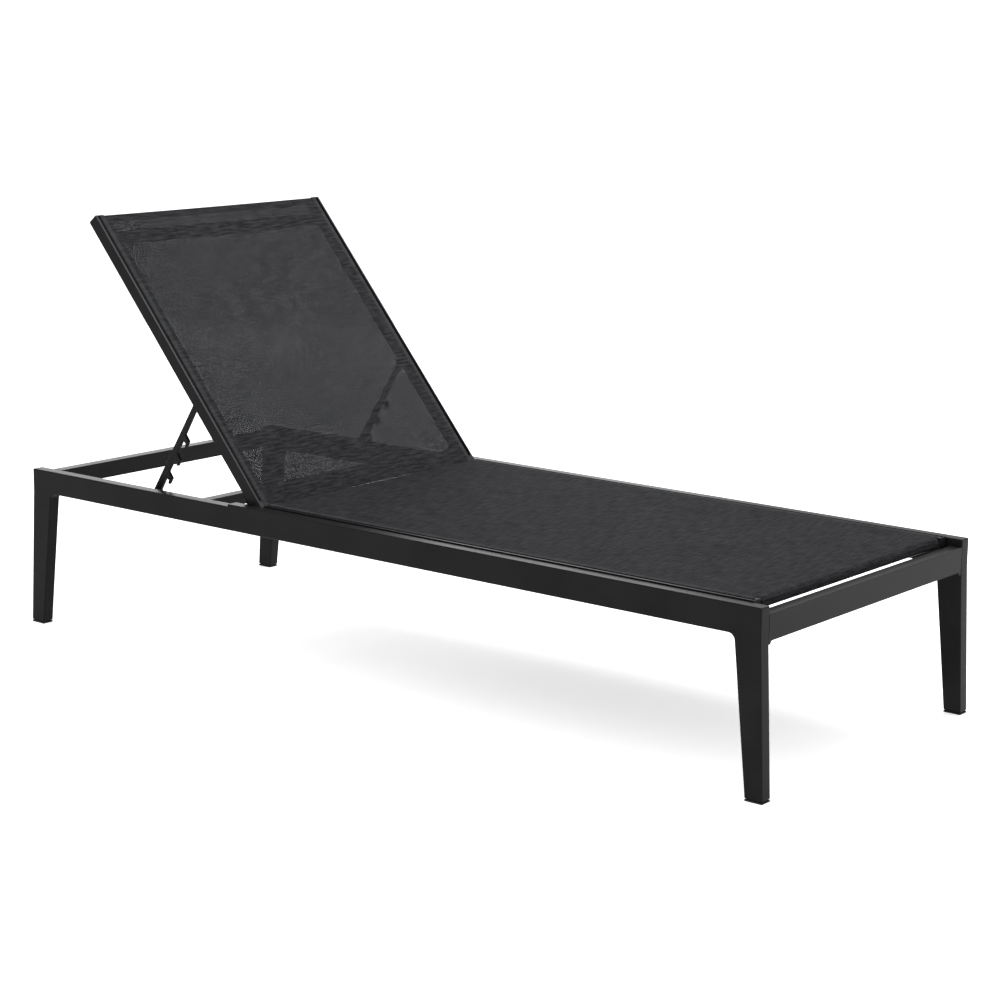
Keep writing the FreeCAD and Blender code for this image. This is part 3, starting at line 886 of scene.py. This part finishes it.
@dataclass
class SlingSection:
    """The sizes of a sling extrusion, from the CAD rail's outer face and its top."""

    outer: float
    width: float = 24 * MM
    depth: float = 25 * MM
    groove: float = 4.4 * MM
    mouth: float = 8.2 * MM
    groove_depth: float = 7 * MM
    wall_gap: float = 0.6 * MM

    @property
    def inner(self) -> float:
        """The rail's inner face."""
        return self.outer - self.width

    @property
    def groove_middle(self) -> float:
        """The middle of the groove."""
        return self.outer - self.groove - self.mouth / 2

    @property
    def fold(self) -> float:
        """Where the cloth turns down, against the groove's inner wall."""
        return self.outer - self.groove - self.mouth + self.wall_gap

    @property
    def top(self) -> float:
        """The rail's face above the hinge axis."""
        return self.depth / 2

    def across(self, side: Side) -> list[float]:
        """A rail's low and high Y on one side."""
        return sorted((side.value * self.inner, side.value * self.outer))


@dataclass
class Sling:
    """A sling: two grooved rails, crossbars, end caps, the mesh, its hems and their stitches."""

    place: SlingPlace
    section: SlingSection
    finishes: Finishes
    cap: float = 3 * MM
    sag: float = 3.5 * MM
    cloth_thickness: float = 0.9 * MM
    weave_depth: float = 0.12 * MM
    cloth_rise: float = 0.75 * MM
    side_hem: float = 10 * MM
    end_hem: float = 17 * MM
    hem_gap: float = 0.5 * MM
    tucked: float = 5 * MM
    slack_reach: float = 90 * MM
    bar_width: float = 25 * MM
    bar_depth: float = 18 * MM
    bead_width: float = 3 * MM
    bead_rise: float = 0.9 * MM
    groove_stop: float = 0.5 * MM
    stitch_pitch: float = 4.2 * MM
    stitch_half: Point = (1.4 * MM, 0.32 * MM, 0.22 * MM)
    columns: int = 84
    rows: int = 150

    def finish(self, piece: bpy.types.Object, slot: Slot, material: bpy.types.Material,
               replaces: Iterable[str] = ()) -> bpy.types.Object:
        """Place a piece drawn in the sling's frame and hang it on the sling's body."""
        return Bench.finish(piece, self.place.body, slot, material, replaces, self.place.pose)

    def height(self, x: float, y: float) -> float:
        """The cloth's height above the rails' faces: pulled flat at the ends, slack in the middle.

        Args:
            x: along the sling.
            y: across it.

        Returns:
            The cloth's middle surface, above the hinge axis.
        """
        half = self.section.inner + 4 * MM
        across = max(0.0, 1.0 - (y / half) ** 2)
        edge = min(x - self.place.cloth_start, self.place.cloth_end - x)
        along = 1.0 - math.exp(-max(edge, 0.0) / self.slack_reach)
        wave = math.sin(x * 61.0 + 2.0 * math.sin(y * 17.0))
        ripple = 0.25 * MM * wave * math.exp(-(half - abs(y)) / (50 * MM))
        slack = self.sag * across * (0.35 + 0.65 * along)
        return self.section.top + self.cloth_rise - slack + ripple * across ** 0.2

    def rail(self, side: Side) -> bpy.types.Object:
        """Model one extrusion with its groove.

        Args:
            side: the side it lies on.

        Returns:
            The piece.
        """
        section = self.section
        ys = section.across(side)
        start, end = self.place.start, self.place.end
        piece = Bench.block(f"{self.place.prefix}_extrusion_{side.word}", (start, ys[0], -section.top),
                            (end, ys[1], section.top))
        centre = side.value * section.groove_middle
        half = section.mouth / 2
        for offset in (-half, half):
            Bench.split(piece, (0, centre + offset, 0), (0, 1, 0))
        first, last = start + self.groove_stop, end - self.groove_stop
        for x in (first, last):
            Bench.split(piece, (x, 0, 0), (1, 0, 0))
        Bench.extrude(piece, lambda at: at.z > section.top - NEAR and abs(at.y - centre) < half
                      and first < at.x < last, (0, 0, -section.groove_depth))
        Bench.soften(piece, 1.0 * MM, 3)
        node = f"{self.place.prefix}_rail_{side.word}"
        return self.finish(piece, Slot.FRAME, self.finishes.coat, [node])

    def end_cap(self, word: str, side: Side, low_x: float) -> bpy.types.Object:
        """Model one plastic end cap, a plate with a softened rim.

        Args:
            word: the end as it stands in the node name.
            side: the side it lies on.
            low_x: where the cap starts along the sling.

        Returns:
            The piece.
        """
        top = self.section.top
        low_y, high_y = self.section.across(side)
        node = f"{self.place.prefix}_cap_{word}{side.word}"
        piece = Bench.block(f"{node}_plug", (low_x, low_y, -top), (low_x + self.cap, high_y, top))
        Bench.soften(piece, 1.1 * MM, 3)
        return self.finish(piece, Slot.PLASTIC, self.finishes.plastic, [node])

    def crossbar(self, word: str) -> bpy.types.Object:
        """Model one crossbar, with weld beads where it meets the rails.

        Args:
            word: which bar.

        Returns:
            The piece.
        """
        node = f"{self.place.prefix}_crossbar_{word}"
        centre = self.place.pose.inverted() @ middle(node)
        half = self.section.inner
        corner = Vector((self.bar_width / 2, half, self.bar_depth / 2))
        level = Vector((centre.x, 0, centre.z))
        piece = Bench.block(f"{node}_tube", level - corner, level + corner)
        Bench.soften(piece, 2.5 * MM, 3)
        bead = half - self.bead_width
        for side in Side:
            Bench.split(piece, (0, side.value * bead, 0), (0, 1, 0))
        Bench.pick(piece, "FACE", lambda at: bead < abs(at.y) < half - NEAR)
        with editing(piece):
            bpy.ops.mesh.extrude_region_shrink_fatten(TRANSFORM_OT_shrink_fatten={"value": self.bead_rise})
        Bench.soften(piece, 0.5 * MM, 2, 50.0)
        return self.finish(piece, Slot.FRAME, self.finishes.coat, [node])

    def strip(self, name: str, corners: tuple[float, float, float, float], cells: tuple[int, int],
              lift: float, thickness: float) -> bpy.types.Object:
        """Lay a rectangle of cloth on the sling.

        Args:
            name: the piece's name.
            corners: low x, high x, low y, high y.
            cells: how many cells along and across.
            lift: height of its middle above the sling's surface.
            thickness: the cloth's thickness.

        Returns:
            The strip, with a UV map in metres.
        """
        low_x, high_x, low_y, high_y = corners
        piece = Bench.cloth(name, (low_x, low_y), (high_x, high_y), cells)
        self.lay(piece, lift)
        self.thicken(piece, thickness)
        return piece

    def lay(self, piece: bpy.types.Object, lift: float) -> None:
        """Give a flat piece the metres of its own plane as a UV map, and lay it on the cloth.

        Args:
            piece: a flat piece in the plane of X and Y.
            lift: height above the sling's surface.
        """
        layer = piece.data.uv_layers.active or piece.data.uv_layers.new()
        layer.name = "yarn"
        for loop in piece.data.loops:
            at = piece.data.vertices[loop.vertex_index].co
            layer.data[loop.index].uv = (at.y, at.x)
        for vertex in piece.data.vertices:
            vertex.co.z += self.height(vertex.co.x, vertex.co.y) + lift

    @staticmethod
    def thicken(piece: bpy.types.Object, thickness: float) -> None:
        """Give a sheet its thickness about its middle surface.

        Args:
            piece: an open sheet.
            thickness: its thickness.
        """
        modifier = piece.modifiers.new("thickness", "SOLIDIFY")
        modifier.thickness = thickness
        modifier.offset = 0.0
        Bench.apply(piece)

    def sheet(self) -> bpy.types.Object:
        """Model the mesh sheet: flat cells, an end over its bar, and sides turned into the grooves.

        Returns:
            The piece.
        """
        section = self.section
        turn, drop = 1.1 * MM, 4.5 * MM
        reach = section.fold - turn
        start, end = self.place.cloth_start, self.place.flat_end
        piece = Bench.cloth(f"{self.place.prefix}_sling", (start, -reach), (end, reach),
                            (self.rows, self.columns))
        self.lay(piece, 0.0)
        for forward, down in self.place.wrap:
            front = max(vertex.co.x for vertex in piece.data.vertices)
            Bench.pick(piece, "EDGE", lambda at: at.x > front - MM / 20 and abs(at.y) < section.inner)
            with editing(piece, "EDGE"):
                bpy.ops.mesh.extrude_region_move(TRANSFORM_OT_translate={"value": (forward, 0, -down)})
        for sign in (-1, 1):
            for out, down in ((turn * 0.75, turn * 0.35), (turn * 0.25, turn * 0.8), (0, drop)):
                edge_y = max(sign * vertex.co.y for vertex in piece.data.vertices)
                Bench.pick(piece, "EDGE", lambda at: sign * at.y > edge_y - MM / 20)
                with editing(piece, "EDGE"):
                    move = (0, sign * out, -down)
                    bpy.ops.mesh.extrude_region_move(TRANSFORM_OT_translate={"value": move})
        layer = piece.data.uv_layers["yarn"]
        for loop in piece.data.loops:
            at = piece.data.vertices[loop.vertex_index].co
            fallen = max(0.0, section.top - at.z)
            turned = fallen if abs(at.y) > section.inner else 0.0
            layer.data[loop.index].uv = (at.y + math.copysign(turned, at.y), at.x + fallen - turned)
        with editing(piece):
            bpy.ops.mesh.select_all(action="SELECT")
            bpy.ops.mesh.normals_make_consistent(inside=False)
        self.thicken(piece, self.weave_depth)
        node = f"{self.place.prefix}_fabric"
        return self.finish(piece, Slot.CLOTH, self.finishes.mesh, [node])

    def hems(self) -> list[bpy.types.Object]:
        """Sew the folded hems under the sheet's edges.

        Returns:
            Two side hems and two end hems.
        """
        start, end = self.place.cloth_start, self.place.flat_end
        inner = self.section.inner
        pieces = []
        under = -(self.cloth_thickness + 0.05 * MM)
        for side in Side:
            ys = sorted((side.value * (inner - self.side_hem), side.value * (inner - self.hem_gap)))
            pieces.append(self.strip(f"{self.place.prefix}_side_hem_{side.word}", (start, end, *ys),
                                     (self.rows, 6), under, self.cloth_thickness * 0.9))
        half = inner - self.side_hem - self.hem_gap
        for word, low_x in (("upper", start), ("lower", end - self.end_hem)):
            high_x = low_x + self.end_hem
            pieces.append(self.strip(f"{self.place.prefix}_end_hem_{word}", (low_x, high_x, -half, half),
                                     (5, self.columns), under, self.cloth_thickness * 0.9))
        for piece in pieces:
            self.finish(piece, Slot.CLOTH, self.finishes.mesh)
        return pieces

    def stitch_row(self, name: str, start: Point, end: Point) -> bpy.types.Object:
        """Sew one row of stitches between two points of the sling's plane.

        Args:
            name: the row's name.
            start: first point, (x, y).
            end: last point, (x, y).

        Returns:
            The row, laid on the cloth.
        """
        run = Vector((end[0] - start[0], end[1] - start[1], 0))
        step = run.normalized() * self.stitch_pitch
        half = Vector(self.stitch_half)
        stitch = Bench.block(name, -half, half)
        Bench.pick(stitch, "FACE", lambda at: abs(at.x) > half.x - NEAR)
        with editing(stitch):
            bpy.ops.transform.resize(value=(1, 0.45, 0.3))
        Bench.soften(stitch, 0.15 * MM, 1)
        stitch.rotation_euler.z = math.atan2(run.y, run.x)
        stitch.location = (start[0], start[1], 0)
        bpy.ops.object.transform_apply(location=True, rotation=True, scale=True)
        array = stitch.modifiers.new("row", "ARRAY")
        array.use_relative_offset = False
        array.use_constant_offset = True
        array.constant_offset_displace = step
        array.count = int(run.length / self.stitch_pitch)
        Bench.apply(stitch)
        self.lay(stitch, self.cloth_thickness / 2 + 0.12 * MM)
        return stitch

    def stitches(self) -> bpy.types.Object:
        """Sew two rows along each side hem and one along each end hem.

        Returns:
            The piece.
        """
        inner = self.section.inner
        start, end = self.place.cloth_start, self.place.flat_end
        rows = []
        for side in Side:
            for number, offset in enumerate((2.5 * MM, self.side_hem - 2 * MM)):
                y = side.value * (inner - offset)
                rows.append(self.stitch_row(f"row_{side.word}_{number}",
                                            (start + 5 * MM, y), (end - 5 * MM, y)))
        half = inner - 4 * MM
        for x in (start + self.end_hem - 2 * MM, end - self.end_hem + 2 * MM):
            rows.append(self.stitch_row("row_end", (x, -half), (x, half)))
        piece = Bench.join(f"{self.place.prefix}_stitching", rows)
        return self.finish(piece, Slot.CLOTH, self.finishes.thread)

    def build(self) -> None:
        """Model the whole sling."""
        place = self.place
        for side in Side:
            self.rail(side)
            for word in place.plate_ends:
                low_x = place.start - self.cap if word in ("rear_", "") else place.end
                self.end_cap(word, side, low_x)
        for word in place.bars:
            self.crossbar(word)
        sheet = self.sheet()
        extras = self.hems() + [self.stitches()]
        width = 2 * (self.section.fold + self.tucked)
        place.flat_length


# ------------------------------------------------------------------ hinge and props


@dataclass
class HeadedBolt:
    """A button-headed bolt with a driving recess, seen by its head."""

    name: str
    nodes: tuple[str, ...]
    body: str
    centre: Vector
    side: Side
    head_face: float
    shank_end: float
    steel: bpy.types.Material
    head_radius: float = 7 * MM
    head_depth: float = 3.5 * MM
    shank_radius: float = 4 * MM
    rim_radius: float = 1.6 * MM
    recess_depth: float = 1.6 * MM

    def build(self) -> bpy.types.Object:
        """Model head and shank and hang them on their body.

        Returns:
            The piece.
        """
        y = self.side.value
        head_middle = Vector((self.centre.x, y * (self.head_face + self.head_depth / 2), self.centre.z))
        head = Bench.disc(f"{self.name}_head", head_middle, self.head_radius, self.head_depth,
                          (0, -y, 0), 36)
        face = y * self.head_face
        Bench.round_edges(head, lambda at: abs(at.y - face) < NEAR, self.rim_radius, 4)
        Bench.pick(head, "FACE", lambda at: abs(at.y - face) < NEAR)
        with editing(head):
            bpy.ops.mesh.inset(thickness=self.head_radius * 0.26)
            bpy.ops.mesh.extrude_region_move(TRANSFORM_OT_translate={"value": (0, y * self.recess_depth, 0)})
            bpy.ops.transform.resize(value=(0.9, 1, 0.9),
                                     center_override=(self.centre.x, face, self.centre.z))
        start = self.head_face + self.head_depth
        length = self.shank_end - start
        shank = Bench.disc(f"{self.name}_shank",
                           (self.centre.x, y * (start + length / 2), self.centre.z),
                           self.shank_radius - 0.02 * MM, length + 0.2 * MM, (0, y, 0), 28)
        piece = Bench.join(f"{self.name}_button_head", [head, shank])
        return Bench.finish(piece, self.body, Slot.STEEL, self.steel, self.nodes)


@dataclass
class HingeHeel:
    """A stop plate welded under a back rail, just above its knuckle."""

    side: Side
    section: SlingSection
    pose: Matrix
    coat: bpy.types.Material
    low_end: float = 1 * MM
    high_end: float = 58 * MM
    low_slope: float = 7 * MM
    high_slope: float = 10 * MM
    depth: float = 9 * MM
    sunk: float = 2.5 * MM
    inset: float = 3 * MM

    def build(self) -> bpy.types.Object:
        """Model the plate in the back's own frame and hang it on the back.

        Returns:
            The piece.
        """
        under = -self.section.top
        outline = [(-self.high_end, under + self.sunk), (self.high_slope - self.high_end, under - self.depth),
                   (-self.low_end - self.low_slope, under - self.depth),
                   (-self.low_end, under - self.sunk), (-self.low_end, under + self.sunk)]
        low_y, high_y = sorted((self.side.value * (self.section.inner + self.inset),
                                self.side.value * (self.section.outer - self.inset)))
        piece = Bench.plate(f"hinge_heel_{self.side.word}_plate", outline, low_y, high_y)
        Bench.soften(piece, 1.2 * MM, 3)
        return Bench.finish(piece, "back", Slot.FRAME, self.coat, (), self.pose)


@dataclass
class PropArm:
    """A notched prop arm: a tapered blade with a round eye and four hooks."""

    side: Side
    coat: bpy.types.Material
    pivot: Vector
    pin: Vector
    notches: int = 4
    notch_pitch: float = 50 * MM
    pin_radius: float = 4 * MM
    root_half: float = 5.5 * MM
    tip_half: float = 8.5 * MM
    eye: float = 9 * MM
    past_roof: float = 16.5 * MM
    hook_reach: float = 23 * MM
    hook_back: float = 9 * MM
    hook_slope: float = 6.4 * MM
    lip: float = 7 * MM
    lip_width: float = 4 * MM
    roof_rise: float = 1.5 * MM
    eye_steps: int = 8

    def half_width(self, along: float, length: float) -> float:
        """The blade's half width at a distance from the pivot."""
        return self.root_half + (self.tip_half - self.root_half) * along / length

    def outline(self) -> list[tuple[float, float]]:
        """The arm's corners as (distance from the pivot, reach towards the foot end).

        Returns:
            The corners, in order.
        """
        last = (self.pin - self.pivot).length - self.pin_radius
        length = last + self.past_roof
        points = [(length, -self.tip_half), (length, self.tip_half)]
        inside = self.hook_reach - self.lip_width
        for notch in range(self.notches):
            roof = last - notch * self.notch_pitch
            edge = self.half_width(roof, length)
            points += [(roof, edge), (roof, inside - self.roof_rise), (roof + self.lip, inside),
                       (roof + self.lip, self.hook_reach), (roof - self.hook_back, self.hook_reach),
                       (roof - self.hook_back - self.hook_slope, edge)]
        start = math.asin(self.root_half / self.eye)
        for step in range(self.eye_steps + 1):
            angle = start + (2 * math.pi - 2 * start) * step / self.eye_steps
            points.append((self.eye * math.cos(angle), self.eye * math.sin(angle)))
        return points

    def build(self) -> bpy.types.Object:
        """Model the arm and hang it on its own body.

        Returns:
            The piece.
        """
        word = self.side.word
        low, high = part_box(f"prop_arm_{word}")
        down = (self.pin - self.pivot).normalized()
        foot = Vector((-down.z, 0, down.x)) if down.z < 0 else Vector((down.z, 0, -down.x))
        corners = []
        for along, reach in self.outline():
            at = self.pivot + down * along + foot * reach
            corners.append((at.x, at.z))
        piece = Bench.plate(f"prop_arm_blade_{word}", corners, low.y, high.y)
        Bench.soften(piece, 0.9 * MM, 3, 28.0)
        return Bench.finish(piece, f"prop_{word}", Slot.FRAME, self.coat, [f"prop_arm_{word}"])


# ------------------------------------------------------------------ studio


@dataclass(frozen=True)
class Lamp:
    """A square soft light aimed at the lounger."""

    name: str
    place: Point
    size: float
    power: float

    def hang(self, aim: Point) -> None:
        """Hang the lamp and turn it to its aim.

        Args:
            aim: the point that it lights.
        """
        data = bpy.data.lights.new(self.name, "AREA")
        data.shape = "SQUARE"
        data.size = self.size
        data.energy = self.power
        lamp = bpy.data.objects.new(self.name, data)
        lamp.location = self.place
        lamp.rotation_euler = (Vector(aim) - Vector(self.place)).to_track_quat("-Z", "Y").to_euler()
        bpy.context.scene.collection.objects.link(lamp)


@dataclass
class Studio:
    """Camera, pale floor and soft light."""

    eye: Point = (3.172, -3.899, 1.409)
    heading: float = 38.52
    tilt: float = 11.84
    roll: float = 0.769
    lens: float = 88.67
    floor_size: float = 1600.0
    aim: Point = (0.0, 0.0, 0.3)
    lamps: tuple[Lamp, ...] = (Lamp("overhead", (0.2, 0.4, 3.6), 3.0, 14.0),
                               Lamp("softbox", (0.5, -2.2, 2.9), 1.6, 18.0),
                               Lamp("rim", (0.36, 2.05, 3.03), 1.4, 84.0),
                               Lamp("backcard", (-3.6, 3.6, 1.1), 3.0, 45.0))

    def camera(self) -> None:
        """Set up the camera."""
        data = bpy.data.cameras.new("camera")
        data.lens = self.lens
        data.sensor_width = 36.0
        data.clip_end = 2000.0
        camera = bpy.data.objects.new("camera", data)
        turn = (Matrix.Rotation(math.radians(self.heading), 4, "Z")
                @ Matrix.Rotation(math.radians(90 - self.tilt), 4, "X")
                @ Matrix.Rotation(math.radians(self.roll), 4, "Z"))
        camera.matrix_world = Matrix.Translation(self.eye) @ turn
        bpy.context.scene.collection.objects.link(camera)
        bpy.context.scene.camera = camera

    def floor(self, material: bpy.types.Material) -> None:
        """Lay the floor.

        Args:
            material: the floor's finish.
        """
        choose()
        bpy.ops.mesh.primitive_plane_add(size=self.floor_size)
        floor = Bench.name_piece("studio_floor")
        floor.data.materials.append(material)

    def light(self) -> None:
        """Hang the soft lights and set the white surround."""
        world = bpy.data.worlds.new("surround")
        world.use_nodes = True
        background = world.node_tree.nodes["Background"]
        background.inputs["Color"].default_value = (1.0, 1.0, 1.0, 1.0)
        background.inputs["Strength"].default_value = 1.0
        bpy.context.scene.world = world
        for lamp in self.lamps:
            lamp.hang(self.aim)
        bpy.context.scene.view_settings.view_transform = "Standard"


class Lounger:
    """The whole lounger, built in order."""

    # steps of the cloth over the seat's front bar, as (forward, down)
    front_wrap = ((4.0 * MM, 1.0 * MM), (3.5 * MM, 3.5 * MM), (2.0 * MM, 5.5 * MM), (0.5 * MM, 6.0 * MM))

    def __init__(self, finishes: Finishes) -> None:
        """Read the hinge and the slings' places from the frame.

        Args:
            finishes: every finish.
        """
        self.finishes = finishes
        joints = {joint["name"]: joint for joint in frame["joints"]}
        self.hinge = Vector(joints["recline"]["pos_m"])
        self.pivots = {side: Vector(joints[f"prop_swing_{side.word}"]["pos_m"]) for side in Side}
        self.section = SlingSection(outer=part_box("back_rail_left")[1].y)

    def raised(self) -> Matrix:
        """The backrest's frame: the hinge axis, turned by the slope between two crossbars."""
        run = middle("back_crossbar_top") - middle("back_crossbar_low")
        return Matrix.Translation(self.hinge) @ Matrix.Rotation(math.atan2(run.z, -run.x), 4, "Y")

    def dress_nodes(self) -> None:
        """Give every CAD node the finish of its slot."""
        slots = {part["node"]: Slot(part["material_slot"]) for part in frame["record"]["subparts"]}
        for name, node in frame["nodes"].items():
            node.data.materials.clear()
            node.data.materials.append(self.finishes.by_slot[slots[name]])

    def build_base(self) -> None:
        """Build side frames, cross rails and glides."""
        for side in Side:
            SideFrame(side, self.finishes.coat).build()
            for end in End:
                Glide(side, end, self.finishes.plastic).build()
        for node in ("head_rail", "foot_rail", "base_crossbar"):
            CrossRail(node, self.finishes.coat).build()

    @staticmethod
    def reach(node: str, pose: Matrix) -> tuple[float, float]:
        """How far a CAD node reaches along a sling, in the sling's frame.

        Args:
            node: the node.
            pose: the sling's frame.

        Returns:
            Its low and high X.
        """
        level = pose.inverted()
        along = [(level @ vertex.co).x for vertex in frame["nodes"][node].data.vertices]
        return min(along), max(along)

    def build_slings(self) -> None:
        """Build seat and back slings."""
        seat = Matrix.Translation(self.hinge)
        place = SlingPlace("seat", "base", seat, *self.reach("seat_rail_left", seat),
                           *self.reach("seat_fabric", seat), ("rear_", "front_"),
                           ("rear", "mid", "front"), self.front_wrap)
        Sling(place, self.section, self.finishes).build()
        back = self.raised()
        place = SlingPlace("back", "back", back, *self.reach("back_rail_left", back),
                           *self.reach("back_fabric", back), ("",), ("low", "top"))
        Sling(place, self.section, self.finishes, rows=100).build()

    def build_mechanism(self) -> None:
        """Build prop arms and the bolts that show."""
        for side in Side:
            word = side.word
            pin = middle(f"catch_pin_{word}")
            pivot = self.pivots[side]
            level_pin = Vector((pin.x, pivot.y, pin.z))
            PropArm(side, self.finishes.coat, pivot, level_pin).build()
            HingeHeel(side, self.section, self.raised(), self.finishes.coat).build()
            for node, body, centre in ((f"prop_bolt_{word}", "back", pivot),
                                       (f"hinge_bolt_{word}", "base", self.hinge)):
                low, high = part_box(node)
                near, far = sorted((abs(low.y), abs(high.y)))
                HeadedBolt(node, (node,), body, centre, side, near, far, self.finishes.steel).build()

    def build(self) -> None:
        """Build everything in order."""
        self.dress_nodes()
        self.build_base()
        self.build_slings()
        self.build_mechanism()


def main() -> None:
    """Build the studio and the lounger."""
    logging.basicConfig(level=logging.INFO, format="%(name)s %(message)s")
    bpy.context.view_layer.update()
    choose()
    finishes = Finishes()
    studio = Studio()
    studio.camera()
    studio.floor(finishes.floor)
    studio.light()
    Lounger(finishes).build()


if __name__ == "__main__":
    main()
